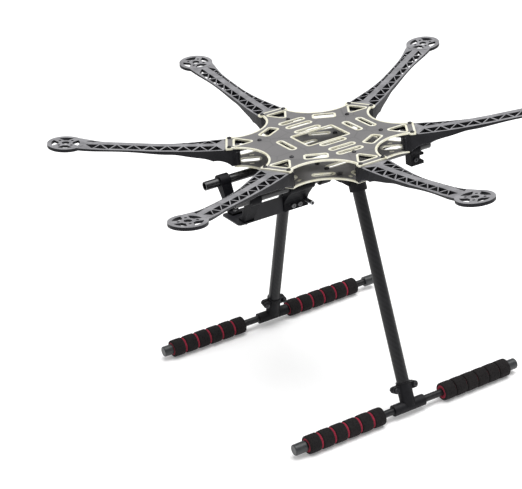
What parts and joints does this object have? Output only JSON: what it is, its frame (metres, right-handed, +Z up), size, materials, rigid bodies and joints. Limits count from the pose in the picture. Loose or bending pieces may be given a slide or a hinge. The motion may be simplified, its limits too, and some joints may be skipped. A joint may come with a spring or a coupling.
{
  "type": "hexacopter airframe",
  "caption": "Flat hub of two slotted circuit-board plates with ridged moulded arms ending in motor pads, carbon legs on foam-covered skids, and an open battery tray hung from two rails.",
  "frame": {"origin": "centre of the bounding box at ground level, on the hub's vertical axis, under the foam skids' lowest line", "axes": "+Z up; +X to the drone's right, along the left and right arms; -Y towards the front, where the tray hangs; skids and rails run along Y"},
  "size_m": [0.5906, 0.5168, 0.3019],
  "materials": {
    "circuit_board_black": "satin",
    "arm_nylon": "satin",
    "clamp_nylon": "matte",
    "carbon_tube": "satin",
    "cap_rubber": "matte",
    "foam_black": "matte",
    "foam_red": "matte",
    "tray_sheet": "satin",
    "black_steel": "satin",
    "bright_steel": "polished",
    "insert_brass": "satin"
  },
  "bodies": {
    "frame": {"top_plate": "circuit_board_black", "bottom_plate": "circuit_board_black", "arm_right": "arm_nylon", "arm_rear_right": "arm_nylon", "arm_rear_left": "arm_nylon", "arm_left": "arm_nylon", "arm_front_left": "arm_nylon", "arm_front_right": "arm_nylon", "arm_thread_inserts": "insert_brass", "top_plate_screws": "black_steel", "bottom_plate_screws": "black_steel", "leg_socket_bolts": "bright_steel", "leg_socket_nuts": "bright_steel", "leg_tee_screws": "black_steel", "leg_tee_nuts": "black_steel", "rail_saddle_bolts": "black_steel", "rail_saddle_nuts": "black_steel", "leg_socket_left": "clamp_nylon", "leg_tube_left": "carbon_tube", "leg_tee_left": "clamp_nylon", "skid_tube_left": "carbon_tube", "rail_tube_left": "carbon_tube", "rail_saddle_front_left": "clamp_nylon", "skid_cap_front_left": "cap_rubber", "rail_saddle_rear_left": "clamp_nylon", "skid_cap_rear_left": "cap_rubber", "leg_socket_right": "clamp_nylon", "leg_tube_right": "carbon_tube", "leg_tee_right": "clamp_nylon", "skid_tube_right": "carbon_tube", "rail_tube_right": "carbon_tube", "rail_saddle_front_right": "clamp_nylon", "skid_cap_front_right": "cap_rubber", "rail_saddle_rear_right": "clamp_nylon", "skid_cap_rear_right": "cap_rubber"},
    "tray": {"battery_tray": "tray_sheet", "tray_cross_rod": "bright_steel", "tray_screws": "bright_steel", "tray_nuts": "bright_steel", "tray_hanger_front_left": "clamp_nylon", "tray_hanger_rear_left": "clamp_nylon", "tray_hanger_front_right": "clamp_nylon", "tray_hanger_rear_right": "clamp_nylon"},
    "spare_hanger_left_body": {"spare_hanger_left": "clamp_nylon", "spare_hanger_bolt_left": "black_steel"},
    "spare_hanger_right_body": {"spare_hanger_right": "clamp_nylon", "spare_hanger_bolt_right": "black_steel"},
    "foam_front_left": {"foam_core_front_left": "foam_red", "foam_rings_front_left": "foam_black"},
    "foam_rear_left": {"foam_core_rear_left": "foam_red", "foam_rings_rear_left": "foam_black"},
    "foam_front_right": {"foam_core_front_right": "foam_red", "foam_rings_front_right": "foam_black"},
    "foam_rear_right": {"foam_core_rear_right": "foam_red", "foam_rings_rear_right": "foam_black"}
  },
  "joints": [
    {"name": "tray_slide", "type": "slide", "parent": "frame", "child": "tray", "axis": [0, 1, 0], "range_m": [-0.016, 0.008]},
    {"name": "spare_hanger_left_slide", "type": "slide", "parent": "frame", "child": "spare_hanger_left_body", "axis": [0, 1, 0], "range_m": [-0.04, 0.0155]},
    {"name": "spare_hanger_right_slide", "type": "slide", "parent": "frame", "child": "spare_hanger_right_body", "axis": [0, 1, 0], "range_m": [-0.04, 0.0155]},
    {"name": "foam_front_left_slide", "type": "slide", "parent": "frame", "child": "foam_front_left", "axis": [0, 1, 0], "range_m": [0, 0.0215]},
    {"name": "foam_rear_left_slide", "type": "slide", "parent": "frame", "child": "foam_rear_left", "axis": [0, 1, 0], "range_m": [-0.001, 0.014]},
    {"name": "foam_front_right_slide", "type": "slide", "parent": "frame", "child": "foam_front_right", "axis": [0, 1, 0], "range_m": [-0.0015, 0.0145]},
    {"name": "foam_rear_right_slide", "type": "slide", "parent": "frame", "child": "foam_rear_right", "axis": [0, 1, 0], "range_m": [-0.024, 0.0015]}
  ]
}
